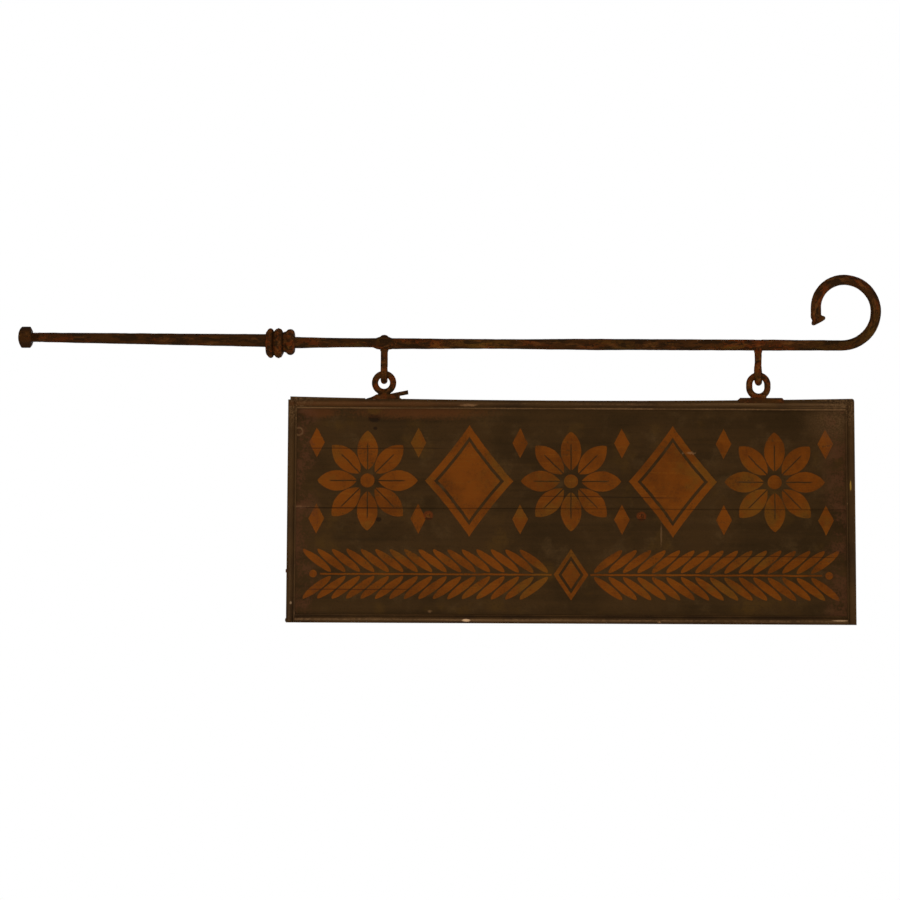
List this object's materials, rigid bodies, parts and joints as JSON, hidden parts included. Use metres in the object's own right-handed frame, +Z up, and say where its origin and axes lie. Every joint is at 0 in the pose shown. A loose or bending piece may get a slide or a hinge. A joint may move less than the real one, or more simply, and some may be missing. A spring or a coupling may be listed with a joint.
{
  "type": "hanging shop sign",
  "caption": "Through-wall iron bracket arm with a scroll end, carrying a framed double-sided wooden board that swings on two rings.",
  "frame": {"origin": "centre of the collar face that bears on the wall, on the arm's axis", "axes": "+X along the arm, away from the wall; +Z up; the board's front faces -Y"},
  "size_m": [1.6402, 0.057, 0.6649],
  "materials": {
    "forged_iron": "dark brown rust over hammered iron",
    "rusted_iron": "redder, thicker rust over forged iron",
    "old_fastener": "rusted iron",
    "frame_wood": "worn dark brown paint on wood, pale at the edges",
    "board_wood": "weathered very dark brown paint with ochre ornament"
  },
  "bodies": {
    "bracket": {"arm_bar": "forged_iron", "tail_nut": "rusted_iron", "wall_collar": "forged_iron", "middle_collar": "forged_iron", "bulb_collar": "rusted_iron", "left_hook": "rusted_iron", "right_hook": "rusted_iron"},
    "hanging_board": {"left_ring": "rusted_iron", "ring_key": "forged_iron", "right_ring": "rusted_iron", "ring_plate": "forged_iron", "plate_screws": "old_fastener", "upper_plank": "board_wood", "lower_plank": "board_wood", "top_rail": "frame_wood", "bottom_rail": "frame_wood", "left_stile": "frame_wood", "right_stile": "frame_wood", "stile_nails": "old_fastener", "tongue_pins": "old_fastener"}
  },
  "joints": [
    {"name": "board_swing", "type": "hinge", "parent": "bracket", "child": "hanging_board", "pos_m": [0.5796, 0, -0.058], "axis": [1, 0, 0], "range_deg": [-90, 90]}
  ]
}
